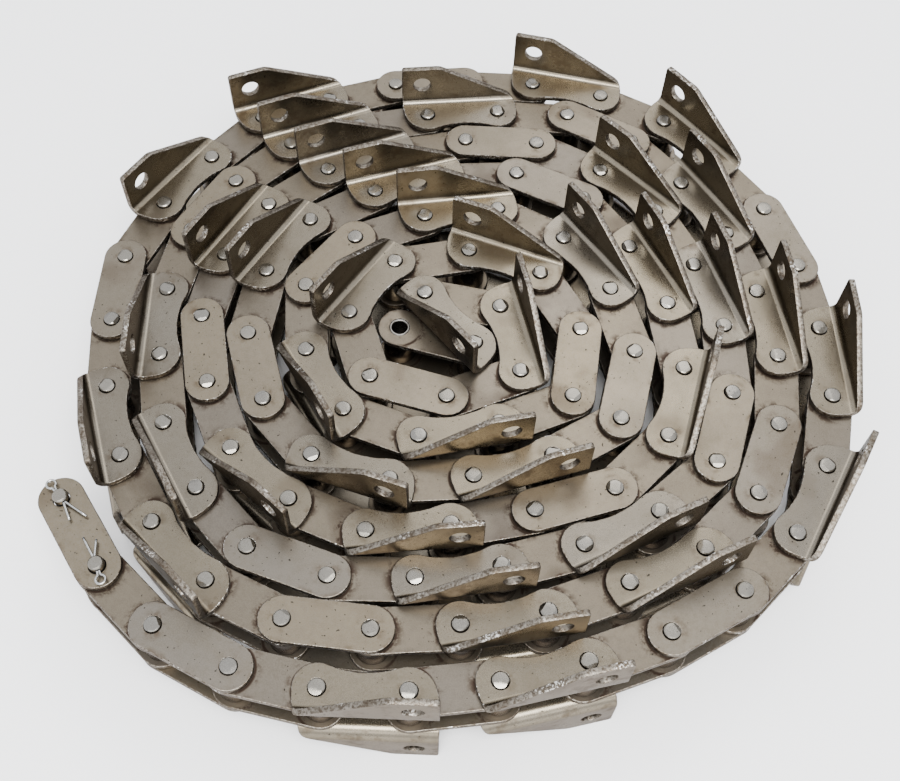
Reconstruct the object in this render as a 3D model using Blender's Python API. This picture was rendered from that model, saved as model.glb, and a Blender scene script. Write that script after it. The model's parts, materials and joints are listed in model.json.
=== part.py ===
"""Attachment roller chain, coiled flat, as an assembly of its real pieces.

The chain lies on its side with every pin upright (+Z).  Its outer end is on the left (-X), it winds
counter-clockwise inwards, and its inner end is folded back on itself in the middle.  Links are
counted from the outer end: outer link k carries pins 2k-2 and 2k-1, and inner link k joins pin
2k-1 to pin 2k.  The two ends are built from their separate plates, pins, bushes and rollers; the
links packed in the middle of the coil are joined into runs.
"""
import math

import bmesh
import bpy
import numpy as np
from mathutils import Matrix

MM = 0.001

# ---- chain, in millimetres -------------------------------------------------------------------
PITCH = 41.4
OUTER_LINKS = 61
PLATE_RADIUS = 11.45
PLATE_THICKNESS = 3.1
INNER_WIDTH = 20.2
PLATE_GAP = 0.3
PIN_RADIUS = 4.0
PIN_BORE_RADIUS = 4.3
PIN_PROUD = 1.6
BUSH_RADIUS = 5.3
BUSH_SEAT_RADIUS = 5.65
ROLLER_RADIUS = 8.89
ROLLER_BORE_RADIUS = 5.75
ROLLER_END_GAP = 0.35

# ---- bent attachment plate ---------------------------------------------------------------------
FOLD_OUT = 13.8
TALL_OVERHANG = 14.3
LOW_OVERHANG = 8.8
WAIST = 7.4
WAIST_RISE = 3.9
WAIST_SPAN = (0.1, 0.78)
LOW_END_ARC = (-80, 20)
TALL_END_CURVE = ((-14.0, 5.0), (-11.3, -4.4), (-5.7, -9.3))
BEND_EASE = 1.5
LUG_HEIGHT = 25.5
LUG_FLAT_END = 8.0
LUG_LOW_HEIGHT = 3.6
LUG_CORNER = 6.0
LUG_HOLE_RADIUS = 5.0
LUG_HOLE_AT = (-2.6, 13.7)

# ---- connecting link ---------------------------------------------------------------------------
CONNECTING_PIN_PROUD = 4.2
COTTER_RADIUS = 0.9
COTTER_HOLE_RADIUS = 1.3
COTTER_LIFT = 2.2
COTTER_EYE_AT = -9.4
COTTER_EYE_RADIUS = 2.5
COTTER_EYE_ARC = (320, 40)
COTTER_SHANK = ((-6.2, 0.35), (-4.5, 0), (4.5, 0))
COTTER_LEG = ((6.5, 0.6), (9.5, 2.6), (12.5, 4.4))
COTTER_ANGLES = (math.radians(-173), math.radians(-10))

# ---- coil: a spiral with a slow wave, whose turns are then pressed clear of each other ----------
COIL_CENTRE = (-0.15, 13.58)
COIL_START = math.radians(-151.1)
COIL_RADIUS = 202.3
COIL_SHRINK = 3.877
COIL_TIGHTENING = 0.0057
COIL_WAVES = ((-3.5, -6.2), (5.3, 1.5), (0.2, -2.8), (-3.2, -3.1))
WAVE_FADE = 0.00525
END_LIFT = 7.7
END_LIFT_TURN = 2.0
STEP_TRIES = 40
TURN_GAP = 0.7
PRESS_SWEEPS = 320
PRESS_SHARE = 0.35
PRESS_SPEED = 1.6
PRESS_REACH = 4.0
NO_LIMIT = -99.0
TAIL_ROOM = 0.6
TAIL_FOLD = math.radians(142)
TAIL_LEAN = math.radians(-4)

# ---- how the chain is divided into nodes ---------------------------------------------------------
SEPARATE_LINKS = 4
LOOSE_OUTER_LINKS = 7
RUN_PAIRS = (8, 8, 8, 8, 8, 7, 7)
OPEN_RUNS = 1

# ---- heights above the floor ---------------------------------------------------------------------
INNER_PLATE_LOW = INNER_WIDTH / 2
INNER_PLATE_HIGH = INNER_PLATE_LOW + PLATE_THICKNESS
OUTER_PLATE_LOW = INNER_PLATE_HIGH + PLATE_GAP
OUTER_PLATE_HIGH = OUTER_PLATE_LOW + PLATE_THICKNESS
PIN_HALF = OUTER_PLATE_HIGH + PIN_PROUD
MID_PLANE = OUTER_PLATE_HIGH + LUG_HEIGHT

# ---- facets --------------------------------------------------------------------------------------
END_STEPS = 6
WHOLE_END_STEPS = 4
RUN_END_STEPS = 3
ROUND_SIDES = 12
PIN_SIDES = 12
DRILL_SIDES = 8
CIRCLE_PHASE = 0.4
SMOOTH_ANGLE = math.radians(35)
WELD_DISTANCE = 1e-7
EYE_STEPS = 8
RUN_ROLLER_SIDES = 6
WAIST_STEPS = 4
RUN_WAIST_STEPS = 3

STEEL = {
    "plain_plate": ((0.40, 0.37, 0.31), 0.38),
    "attachment_plate": ((0.36, 0.33, 0.28), 0.34),
    "inner_plate": ((0.34, 0.31, 0.26), 0.40),
    "pin": ((0.62, 0.61, 0.58), 0.28),
    "bush": ((0.45, 0.44, 0.42), 0.30),
    "roller": ((0.30, 0.28, 0.25), 0.35),
    "cotter": ((0.66, 0.66, 0.64), 0.25),
    "coil_run": ((0.33, 0.30, 0.25), 0.40),
}


# ==== the coil ====================================================================================
def is_attachment(link):
    """The second outer link is plain, then two attachment links and one plain link repeat."""
    return link != 1 and link % 3 != 2


def spiral_point(turned):
    """Point of the free spiral after turning through an angle from the outer end."""
    angle = COIL_START + turned
    wave = 0.0
    for order, (cosine, sine) in enumerate(COIL_WAVES, start=1):
        wave += cosine * math.cos(order * angle) + sine * math.sin(order * angle)
    radius = COIL_RADIUS - COIL_SHRINK * turned - COIL_TIGHTENING * turned**2
    radius += wave * (1 - WAVE_FADE * turned)
    radius += END_LIFT * math.exp(-((turned / END_LIFT_TURN) ** 2))
    return np.array([radius * math.cos(angle), radius * math.sin(angle)])


def spiral_pins(count):
    """Pins a pitch apart along the free spiral."""
    turned = 0.0
    pins = [spiral_point(turned)]
    while len(pins) < count:
        radius = np.linalg.norm(pins[-1])
        step = PITCH / radius
        for _ in range(STEP_TRIES):
            miss = np.linalg.norm(spiral_point(turned + step) - pins[-1]) - PITCH
            step -= miss / radius
        turned += step
        pins.append(spiral_point(turned))
    return np.array(pins)


def turned_by(vector, angle):
    """A plan vector turned counter-clockwise."""
    cosine, sine = math.cos(angle), math.sin(angle)
    return np.array([cosine * vector[0] - sine * vector[1], sine * vector[0] + cosine * vector[1]])


def with_tail(pins):
    """Adds the last outer link, folded back, and the last inner link beside the one before it."""
    along = pins[-1] - pins[-2]
    fold = pins[-1] + turned_by(along, TAIL_FOLD)
    return np.vstack([pins, fold, fold + turned_by(along, TAIL_LEAN)])


def press(pins, shift, points, owners, tails, limit, side, allowed):
    """Pushes points and links apart where a point is nearer a link's centre line than limit(x).

    Link j runs from pin tails[j] to the next pin.  A point moves with its owner pin, or holds still
    if that is None.  Side is 1 for points outside the link and -1 for points inside it.
    """
    move, count = shift
    last = len(move) - 1
    along = (pins[tails + 1] - pins[tails]) / PITCH
    outward = np.stack([along[:, 1], -along[:, 0]], 1)
    offset = points[None] - ((pins[tails + 1] + pins[tails]) / 2)[:, None]
    x = np.einsum("jik,jk->ji", offset, along)
    y = side * np.einsum("jik,jk->ji", offset, outward)
    depth = limit(x) - y
    for j, i in zip(*np.nonzero(allowed & (depth > 0) & (y > PRESS_REACH))):
        push = side * outward[j] * depth[j, i] * PRESS_SHARE
        share = min(max(x[j, i] / PITCH + 0.5, 0), 1)
        for pin, part in ((owners[i], 1.0), (tails[j], share - 1), (tails[j] + 1, -share)):
            if pin is not None:
                pin = min(pin, last)
                move[pin] += push * part
                count[pin] += abs(part)


def pull_to_pitch(pins):
    """Brings neighbouring pins towards one pitch apart."""
    for k in range(len(pins) - 1):
        gap = pins[k + 1] - pins[k]
        length = math.hypot(gap[0], gap[1])
        fix = gap * (0.5 * (length - PITCH) / length)
        pins[k] += fix
        pins[k + 1] -= fix


def settle(pins):
    """Presses the turns apart until each plate clears the plates of the next turn."""
    total = len(pins)
    links = total // 2
    outer_tails = np.arange(0, 2 * links, 2)
    inner_tails = np.arange(1, total - 1, 2)
    ends = np.arange(2 * links)
    bent = np.array([is_attachment(k + 1) for k in range(links)])
    fold_out = np.where(bent, FOLD_OUT, 0.0)[:, None]
    edge_radius = np.where(bent, 0.0, PLATE_RADIUS)[:, None] + PLATE_RADIUS + TURN_GAP
    reach_back = np.where(bent, PITCH / 2 + LOW_OVERHANG, PITCH / 2)[:, None]
    reach_on = np.where(bent, PITCH / 2 + TALL_OVERHANG, PITCH / 2)[:, None]
    outer_turn = ends[None] // 2 <= np.arange(links)[:, None] - 3
    inner_turn = np.arange(links)[:, None] <= ends[None] // 2 - 3
    apart = np.abs(np.arange(total)[None] - inner_tails[:, None] - 0.5) > 4
    corner_radius = np.where(bent[ends // 2], 0.0, PLATE_RADIUS)[None]

    def outer_edge(x):
        beyond = np.maximum(np.maximum(-reach_back - x, x - reach_on), 0)
        left = edge_radius**2 - beyond**2
        return np.where(left > 0, fold_out + np.sqrt(np.maximum(left, 0)), NO_LIMIT)

    def inner_edge(x):
        waist = np.minimum(WAIST + WAIST_RISE * (2 * x / PITCH) ** 2, PLATE_RADIUS)
        depth = np.where(bent[:, None], waist, PLATE_RADIUS) + TURN_GAP + corner_radius
        return np.where(np.abs(x) < PITCH / 2, depth, NO_LIMIT)

    def inner_link_edge(x):
        return np.where(np.abs(x) < PITCH / 2, 2 * PLATE_RADIUS + TURN_GAP, NO_LIMIT)

    def tail_edge(x):
        return np.where(np.abs(x) < PITCH, 2 * PLATE_RADIUS + TURN_GAP + TAIL_ROOM, NO_LIMIT)

    for _ in range(PRESS_SWEEPS):
        shift = (np.zeros_like(pins), np.zeros(total))
        whole = with_tail(pins)
        along = (pins[outer_tails + 1] - pins[outer_tails]) / PITCH
        outward = fold_out * np.stack([along[:, 1], -along[:, 0]], 1)
        corners = np.empty((2 * links, 2))
        corners[0::2] = pins[outer_tails] + outward - np.where(bent, LOW_OVERHANG, 0)[:, None] * along
        corners[1::2] = pins[outer_tails + 1] + outward
        corners[1::2] += np.where(bent, TALL_OVERHANG, 0)[:, None] * along
        press(pins, shift, pins[ends], ends, outer_tails, outer_edge, 1, outer_turn)
        press(pins, shift, corners, ends, outer_tails, inner_edge, -1, inner_turn)
        press(pins, shift, whole[-1:], [None], np.array([total - 6]), tail_edge, -1, True)
        for side in (1, -1):
            press(pins, shift, pins, np.arange(total), inner_tails, inner_link_edge, side, apart)
        move, count = shift
        pins = pins + PRESS_SPEED * move / np.maximum(count, 1)[:, None]
        for _ in range(3):
            pull_to_pitch(pins)
    exact = [pins[0]]
    for gap in np.diff(pins, axis=0):
        exact.append(exact[-1] + gap * PITCH / np.linalg.norm(gap))
    return np.array(exact)


def coil_pins():
    """Plan position of every pin, outer end first; the last one is the open bush."""
    return with_tail(settle(spiral_pins(2 * OUTER_LINKS - 1))) + np.array(COIL_CENTRE)


# ==== mesh tools ==================================================================================
def circle(x, y, radius, sides):
    """Closed loop of points round a circle, turned so that no two lie level with each other."""
    steps = (2 * math.pi * (k + CIRCLE_PHASE) / sides for k in range(sides))
    return [(x + radius * math.cos(a), y + radius * math.sin(a)) for a in steps]


def arc(x, y, radius, start, stop, steps):
    """Points along an arc, angles in degrees."""
    angles = (math.radians(start + (stop - start) * k / steps) for k in range(steps + 1))
    return [(x + radius * math.cos(a), y + radius * math.sin(a)) for a in angles]


def baked(obj):
    """The object as a plain mesh object: modifiers applied, curve converted, caps welded."""
    evaluated = obj.evaluated_get(bpy.context.evaluated_depsgraph_get())
    mesh = bpy.data.meshes.new_from_object(evaluated)
    shape = bmesh.new()
    shape.from_mesh(mesh)
    bmesh.ops.remove_doubles(shape, verts=shape.verts, dist=WELD_DISTANCE)
    bmesh.ops.recalc_face_normals(shape, faces=shape.faces)
    shape.to_mesh(mesh)
    shape.free()
    plain = bpy.data.objects.new(obj.name + "_solid", mesh)
    plain.matrix_world = obj.matrix_world
    bpy.context.scene.collection.objects.link(plain)
    bpy.data.objects.remove(obj)
    return plain


def outline_solid(loops, low, high):
    """Extrudes flat outlines (millimetres) between two heights; inner loops become holes."""
    curve = bpy.data.curves.new("outline", "CURVE")
    curve.dimensions = "2D"
    curve.fill_mode = "BOTH"
    curve.extrude = (high - low) / 2 * MM
    for loop in loops:
        spline = curve.splines.new("POLY")
        spline.points.add(len(loop) - 1)
        for point, (x, y) in zip(spline.points, loop):
            point.co = (x * MM, y * MM, 0, 1)
        spline.use_cyclic_u = True
    obj = bpy.data.objects.new("outline", curve)
    bpy.context.scene.collection.objects.link(obj)
    bpy.context.view_layer.update()
    solid = baked(obj)
    solid.data.transform(Matrix.Translation((0, 0, (low + high) / 2 * MM)))
    return solid


def round_bar(x, radius, low, high, sides):
    """Upright bar."""
    mesh = bpy.data.meshes.new("bar")
    shape = bmesh.new()
    bmesh.ops.create_cone(
        shape, cap_ends=True, segments=sides, radius1=radius * MM, radius2=radius * MM,
        depth=(high - low) * MM,
    )
    turn = Matrix.Rotation(math.pi / sides, 4, "Z")
    bmesh.ops.transform(
        shape, verts=shape.verts, matrix=Matrix.Translation((x * MM, 0, (low + high) / 2 * MM)) @ turn
    )
    shape.to_mesh(mesh)
    shape.free()
    obj = bpy.data.objects.new("bar", mesh)
    bpy.context.scene.collection.objects.link(obj)
    return obj


def combined(base, others, operation):
    """Boolean of a base with other solids, which are used up."""
    group = bpy.data.collections.new("operands")
    bpy.context.scene.collection.children.link(group)
    for other in others:
        group.objects.link(other)
    modifier = base.modifiers.new("combine", "BOOLEAN")
    modifier.operation = operation
    modifier.operand_type = "COLLECTION"
    modifier.solver = "EXACT"
    modifier.collection = group
    bpy.context.view_layer.update()
    result = baked(base)
    for other in others:
        bpy.data.objects.remove(other)
    bpy.data.collections.remove(group)
    return result


def mesh_of(obj, name):
    """Takes the mesh off a working object, shades it, and removes the object."""
    mesh = obj.data
    mesh.transform(obj.matrix_world)
    mesh.name = name
    mesh.shade_smooth()
    mesh.set_sharp_from_angle(angle=SMOOTH_ANGLE)
    bpy.data.objects.remove(obj)
    return mesh


def flipped(mesh, name):
    """The same shape turned over top to bottom."""
    copy = mesh.copy()
    copy.name = name
    copy.transform(Matrix.Diagonal((1, 1, -1, 1)))
    copy.flip_normals()
    return copy


# ==== link shapes: origin on the link's inner-end pin, +X to its other pin, +Y out of the coil ====
def plain_outline(steps):
    """Straight-sided plate with two round ends."""
    left = arc(0, 0, PLATE_RADIUS, 90, 270, steps)
    return left + arc(PITCH, 0, PLATE_RADIUS, -90, 90, steps)


def attachment_outline(steps):
    """Plate with a waisted inner edge, a fold line along its outer edge and a long tall end."""
    bends = WAIST_STEPS if steps > RUN_END_STEPS else RUN_WAIST_STEPS
    spread = (WAIST_SPAN[0] + WAIST_SPAN[1] * k / bends for k in range(bends + 1))
    waist = [(PITCH * t, -WAIST - WAIST_RISE * (2 * t - 1) ** 2) for t in spread]
    fold = FOLD_OUT - BEND_EASE
    tall_end = [(TALL_END_CURVE[0][0], fold), *TALL_END_CURVE]
    low_end = arc(PITCH, 0, PLATE_RADIUS, *LOW_END_ARC, steps - 1)
    return [*tall_end, *waist, *low_end, (PITCH + LOW_OVERHANG - PLATE_GAP, fold)]


def lug_outline(corner_steps):
    """Side view of the lug: flat top with a rounded corner, then a long straight slope."""
    top = OUTER_PLATE_HIGH + LUG_HEIGHT
    base = OUTER_PLATE_LOW + BEND_EASE
    corner = arc(-TALL_OVERHANG + LUG_CORNER, top - LUG_CORNER, LUG_CORNER, 180, 90, corner_steps)
    low = (PITCH + LOW_OVERHANG, OUTER_PLATE_HIGH + LUG_LOW_HEIGHT)
    return [(-TALL_OVERHANG, base), *corner, (LUG_FLAT_END, top), low, (low[0], base)]


def pin_holes(radius):
    """The two pin holes of a plate."""
    return [circle(0, 0, radius, ROUND_SIDES), circle(PITCH, 0, radius, ROUND_SIDES)]


def plain_plate(low, high, holes, steps):
    """Flat link plate."""
    return outline_solid([plain_outline(steps), *holes], low, high)


def attachment_plate(holes, lug_holes, steps):
    """Upper plate with its lug bent up at a right angle."""
    plate = outline_solid([attachment_outline(steps), *holes], OUTER_PLATE_LOW, OUTER_PLATE_HIGH)
    corner_steps = 1 if steps == RUN_END_STEPS else 3
    lug = outline_solid([lug_outline(corner_steps), *lug_holes], FOLD_OUT - PLATE_THICKNESS, FOLD_OUT)
    lug.data.transform(Matrix.Rotation(math.pi / 2, 4, "X") @ Matrix.Diagonal((1, 1, -1, 1)))
    lug.data.flip_normals()
    return combined(plate, [lug], "UNION")


def lug_hole():
    """Bolt hole of the lug."""
    x, height = LUG_HOLE_AT
    return [circle(x, OUTER_PLATE_HIGH + height, LUG_HOLE_RADIUS, ROUND_SIDES)]


def mirrored(obj):
    """A copy of a working solid turned over top to bottom."""
    copy = bpy.data.objects.new("mirrored", flipped(obj.data, "mirrored"))
    copy.matrix_world = obj.matrix_world
    bpy.context.scene.collection.objects.link(copy)
    return copy


def outer_link(attachment, pins, steps, lug_holes):
    """Whole outer link as one solid: two plates on two pins."""
    if attachment:
        plate = attachment_plate([], lug_holes, steps)
    else:
        plate = plain_plate(OUTER_PLATE_LOW, OUTER_PLATE_HIGH, [], steps)
    return combined(plate, [mirrored(plate), *pins], "UNION")


def run_pins(round_end):
    """Pins of a link inside a run: square inside the joined links, round where the next run turns."""
    reach = OUTER_PLATE_LOW + PLATE_THICKNESS / 2
    far = round_bar(PITCH, PIN_RADIUS, -reach, reach, 4)
    near = round_bar(0, PIN_RADIUS, -reach, reach, PIN_SIDES if round_end else 4)
    return [far, near]


def inner_link(bored, steps, barrels, roller_sides):
    """Whole inner link as one solid, with its rollers or as one block, and its pin bores."""
    if barrels:
        plate = plain_plate(INNER_PLATE_LOW, INNER_PLATE_HIGH, [], steps)
        reach = INNER_PLATE_LOW + PLATE_THICKNESS / 2
        rollers = [round_bar(x, ROLLER_RADIUS, -reach, reach, roller_sides) for x in (0, PITCH)]
        link = combined(plate, [mirrored(plate), *rollers], "UNION")
    else:
        link = plain_plate(-INNER_PLATE_HIGH, INNER_PLATE_HIGH, [], steps)
    bores = [round_bar(x, PIN_BORE_RADIUS, -PIN_HALF, PIN_HALF, ROUND_SIDES) for x in bored]
    return combined(link, bores, "DIFFERENCE") if bores else link


def tube(radius, bore, half):
    """Bush or roller about the pin axis."""
    loops = [circle(0, 0, radius, ROUND_SIDES), circle(0, 0, bore, ROUND_SIDES)]
    return outline_solid(loops, -half, half)


def connecting_pin(angle):
    """Pin of the connecting link, longer at the top and cross-drilled for its cotter."""
    top = OUTER_PLATE_HIGH + CONNECTING_PIN_PROUD
    pin = round_bar(0, PIN_RADIUS, -PIN_HALF, top, PIN_SIDES)
    drill = round_bar(0, COTTER_HOLE_RADIUS, -2 * PIN_RADIUS, 2 * PIN_RADIUS, DRILL_SIDES)
    across = Matrix.Rotation(angle, 4, "Z") @ Matrix.Rotation(math.pi / 2, 4, "Y")
    lift = Matrix.Translation((0, 0, (OUTER_PLATE_HIGH + COTTER_LIFT) * MM))
    drill.data.transform(lift @ across)
    return combined(pin, [drill], "DIFFERENCE")


def cotter(angle):
    """Split pin: an eye at one side, the shank through the pin and a spread leg beyond it."""
    eye = arc(COTTER_EYE_AT, 0, COTTER_EYE_RADIUS, *COTTER_EYE_ARC, EYE_STEPS)
    route = [*eye, *COTTER_SHANK, *COTTER_LEG]
    curve = bpy.data.curves.new("cotter", "CURVE")
    curve.dimensions = "3D"
    curve.bevel_depth = COTTER_RADIUS * MM
    curve.bevel_resolution = 1
    curve.use_fill_caps = True
    spline = curve.splines.new("POLY")
    spline.points.add(len(route) - 1)
    for point, (x, y) in zip(spline.points, route):
        point.co = (x * MM, y * MM, 0, 1)
    obj = bpy.data.objects.new("cotter", curve)
    bpy.context.scene.collection.objects.link(obj)
    bpy.context.view_layer.update()
    wire = baked(obj)
    lift = Matrix.Translation((0, 0, (OUTER_PLATE_HIGH + COTTER_LIFT) * MM))
    wire.data.transform(lift @ Matrix.Rotation(angle, 4, "Z"))
    return wire


# ==== assembly ====================================================================================
def steel(name):
    """Bare steel in the shade of one kind of piece."""
    color, roughness = STEEL[name]
    material = bpy.data.materials.new(name)
    material.use_nodes = True
    shader = material.node_tree.nodes["Principled BSDF"]
    shader.inputs["Base Color"].default_value = (*color, 1)
    shader.inputs["Metallic"].default_value = 0.9
    shader.inputs["Roughness"].default_value = roughness
    return material


class Assembly:
    """Places shared meshes in the coil, one named object for each piece."""

    def __init__(self):
        self.pins = coil_pins()
        self.parts = bpy.data.collections.new("roller_chain")
        bpy.context.scene.collection.children.link(self.parts)

    def frame(self, near, far, at):
        """Plan place of a link piece: origin at pin `at`, +X from the near pin to the far pin."""
        along = self.pins[far] - self.pins[near]
        x, y = self.pins[at]
        place = Matrix.Translation((x * MM, y * MM, MID_PLANE * MM))
        return place @ Matrix.Rotation(math.atan2(along[1], along[0]), 4, "Z")

    def add(self, name, mesh, kind, matrix):
        """One named piece."""
        obj = bpy.data.objects.new(name, mesh.copy())
        obj.data.materials.clear()
        obj.data.materials.append(steel(kind))
        obj.matrix_world = matrix
        self.parts.objects.link(obj)

    def outer_frame(self, link, at_far=False):
        """Frame of outer link k, on its inner-end pin or its other pin."""
        near, far = 2 * link - 1, 2 * link - 2
        return self.frame(near, far, far if at_far else near)

    def inner_frame(self, link, at_far=False):
        """Frame of inner link k, on its inner-end pin or its other pin."""
        near, far = 2 * link, 2 * link - 1
        return self.frame(near, far, far if at_far else near)


def add_separate_inner_link(chain, shapes, name, link):
    """Two plates, two bushes and two rollers."""
    frame = chain.inner_frame(link)
    chain.add(name + "_top_plate", shapes["inner_top"], "inner_plate", frame)
    chain.add(name + "_bottom_plate", shapes["inner_bottom"], "inner_plate", frame)
    for side, at_far in (("a", True), ("b", False)):
        place = chain.inner_frame(link, at_far)
        chain.add(f"{name}_bush_{side}", shapes["bush"], "bush", place)
        chain.add(f"{name}_roller_{side}", shapes["roller"], "roller", place)


def add_separate_outer_link(chain, shapes, name, link):
    """Two plates and two riveted pins."""
    kind = "attachment" if is_attachment(link) else "plain"
    frame = chain.outer_frame(link)
    chain.add(name + "_top_plate", shapes[kind + "_top"], kind + "_plate", frame)
    chain.add(name + "_bottom_plate", shapes[kind + "_bottom"], kind + "_plate", frame)
    for side, at_far in (("a", True), ("b", False)):
        chain.add(f"{name}_pin_{side}", shapes["pin"], "pin", chain.outer_frame(link, at_far))


def add_connecting_link(chain, shapes):
    """Outer end of the chain: a loose cover plate held on two long pins by cotters."""
    frame = chain.outer_frame(1)
    chain.add("connecting_link_cover_plate", shapes["plain_top"], "plain_plate", frame)
    chain.add("connecting_link_fixed_plate", shapes["plain_bottom"], "plain_plate", frame)
    for side, at_far, angle in (("a", True, COTTER_ANGLES[0]), ("b", False, COTTER_ANGLES[1])):
        place = chain.outer_frame(1, at_far)
        pin = mesh_of(connecting_pin(angle), "connecting_pin_" + side)
        wire = mesh_of(cotter(angle), "cotter_" + side)
        chain.add("connecting_link_pin_" + side, pin, "pin", place)
        chain.add("connecting_link_cotter_" + side, wire, "cotter", place)


def add_free_end(chain, shapes):
    """The stretch of the outer turn that can be unrolled."""
    add_connecting_link(chain, shapes)
    for link in range(1, LOOSE_OUTER_LINKS):
        name = f"inner_link_{link}"
        if link <= SEPARATE_LINKS:
            add_separate_inner_link(chain, shapes, name, link)
        else:
            chain.add(name, shapes["whole_inner"], "inner_plate", chain.inner_frame(link))
    for link in range(2, LOOSE_OUTER_LINKS + 1):
        kind = "attachment" if is_attachment(link) else "plain"
        name = f"{kind}_link_{link}"
        if link <= SEPARATE_LINKS:
            add_separate_outer_link(chain, shapes, name, link)
        else:
            chain.add(name, shapes["whole_" + kind], kind + "_plate", chain.outer_frame(link))


def run_piece(chain, mesh, frame):
    """A link placed in the coil as a working solid."""
    obj = bpy.data.objects.new("run_piece", mesh.copy())
    obj.data.transform(frame)
    bpy.context.scene.collection.objects.link(obj)
    return obj


def add_runs(chain, shapes):
    """The packed middle of the coil, a few links to each joined run."""
    link = LOOSE_OUTER_LINKS
    for number, pairs in enumerate(RUN_PAIRS, start=1):
        body = "open" if number <= OPEN_RUNS else "block"
        pieces = []
        for step in range(pairs):
            inner = f"run_{body}_bored" if step == 0 else f"run_{body}"
            pieces.append(run_piece(chain, shapes[inner], chain.inner_frame(link)))
            link += 1
            kind = "attachment" if is_attachment(link) else "plain"
            outer = f"run_{kind}_end" if step == pairs - 1 else f"run_{kind}"
            pieces.append(run_piece(chain, shapes[outer], chain.outer_frame(link)))
        run = mesh_of(combined(pieces[0], pieces[1:], "UNION"), f"coil_run_{number}")
        chain.add(f"coil_run_{number}", run, "coil_run", Matrix())


def link_shapes():
    """Every shared mesh, by name."""
    holes = pin_holes(PIN_BORE_RADIUS)
    seats = pin_holes(BUSH_SEAT_RADIUS)
    solids = {
        "plain_top": plain_plate(OUTER_PLATE_LOW, OUTER_PLATE_HIGH, holes, END_STEPS),
        "attachment_top": attachment_plate(holes, lug_hole(), END_STEPS),
        "inner_top": plain_plate(INNER_PLATE_LOW, INNER_PLATE_HIGH, seats, END_STEPS),
        "pin": round_bar(0, PIN_RADIUS, -PIN_HALF, PIN_HALF, PIN_SIDES),
        "bush": tube(BUSH_RADIUS, PIN_BORE_RADIUS, INNER_PLATE_HIGH),
        "roller": tube(ROLLER_RADIUS, ROLLER_BORE_RADIUS, INNER_PLATE_LOW - ROLLER_END_GAP),
        "whole_inner": inner_link((0, PITCH), WHOLE_END_STEPS, True, ROUND_SIDES),
        "run_open": inner_link((), RUN_END_STEPS, True, RUN_ROLLER_SIDES),
        "run_open_bored": inner_link((PITCH,), RUN_END_STEPS, True, RUN_ROLLER_SIDES),
        "run_block": inner_link((), RUN_END_STEPS, False, 0),
        "run_block_bored": inner_link((PITCH,), RUN_END_STEPS, False, 0),
    }
    for kind, bent in (("plain", False), ("attachment", True)):
        rivets = [round_bar(x, PIN_RADIUS, -PIN_HALF, PIN_HALF, PIN_SIDES) for x in (0, PITCH)]
        solids["whole_" + kind] = outer_link(bent, rivets, WHOLE_END_STEPS, lug_hole() if bent else [])
        solids["run_" + kind] = outer_link(bent, run_pins(False), RUN_END_STEPS, [])
        solids[f"run_{kind}_end"] = outer_link(bent, run_pins(True), RUN_END_STEPS, [])
    meshes = {name: mesh_of(solid, name) for name, solid in solids.items()}
    for kind in ("plain", "attachment", "inner"):
        meshes[kind + "_bottom"] = flipped(meshes[kind + "_top"], kind + "_bottom")
    return meshes


def main():
    """Builds the chain in an empty scene."""
    for obj in list(bpy.data.objects):
        bpy.data.objects.remove(obj)
    shapes = link_shapes()
    chain = Assembly()
    add_free_end(chain, shapes)
    add_runs(chain, shapes)
    add_separate_inner_link(chain, shapes, "end_link", OUTER_LINKS)


main()
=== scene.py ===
"""Looks of the coiled attachment roller chain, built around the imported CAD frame.

Every plate, pin, bush and roller of the chain is a piece of its own here.  The pieces of one kind
share a few meshes, each modelled in its link's frame: origin on the link's inner-end pin, +X
towards its other pin, +Y out of the coil, and Z = 0 on the chain's middle plane.
"""
import json
import math
import random

import bmesh
import bpy
import numpy as np
from mathutils import Matrix, Vector

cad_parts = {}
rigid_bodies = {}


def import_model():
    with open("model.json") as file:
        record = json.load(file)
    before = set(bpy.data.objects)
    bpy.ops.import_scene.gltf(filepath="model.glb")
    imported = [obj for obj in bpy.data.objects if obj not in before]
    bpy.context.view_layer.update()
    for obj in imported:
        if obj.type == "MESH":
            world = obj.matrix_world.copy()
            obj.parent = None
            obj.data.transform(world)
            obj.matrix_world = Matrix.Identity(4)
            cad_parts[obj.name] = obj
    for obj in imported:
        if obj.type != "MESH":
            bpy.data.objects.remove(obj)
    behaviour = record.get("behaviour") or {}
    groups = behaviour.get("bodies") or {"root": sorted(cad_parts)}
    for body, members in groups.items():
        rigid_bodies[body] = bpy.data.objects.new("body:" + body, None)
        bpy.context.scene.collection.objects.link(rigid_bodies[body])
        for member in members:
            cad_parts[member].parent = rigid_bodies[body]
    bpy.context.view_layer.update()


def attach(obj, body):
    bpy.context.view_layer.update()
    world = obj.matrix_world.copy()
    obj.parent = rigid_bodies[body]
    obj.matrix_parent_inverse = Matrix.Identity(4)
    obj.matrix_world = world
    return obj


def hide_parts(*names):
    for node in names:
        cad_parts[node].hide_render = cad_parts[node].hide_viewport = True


for leftover in list(bpy.data.objects):
    bpy.data.objects.remove(leftover)

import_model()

MM = 0.001

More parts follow.
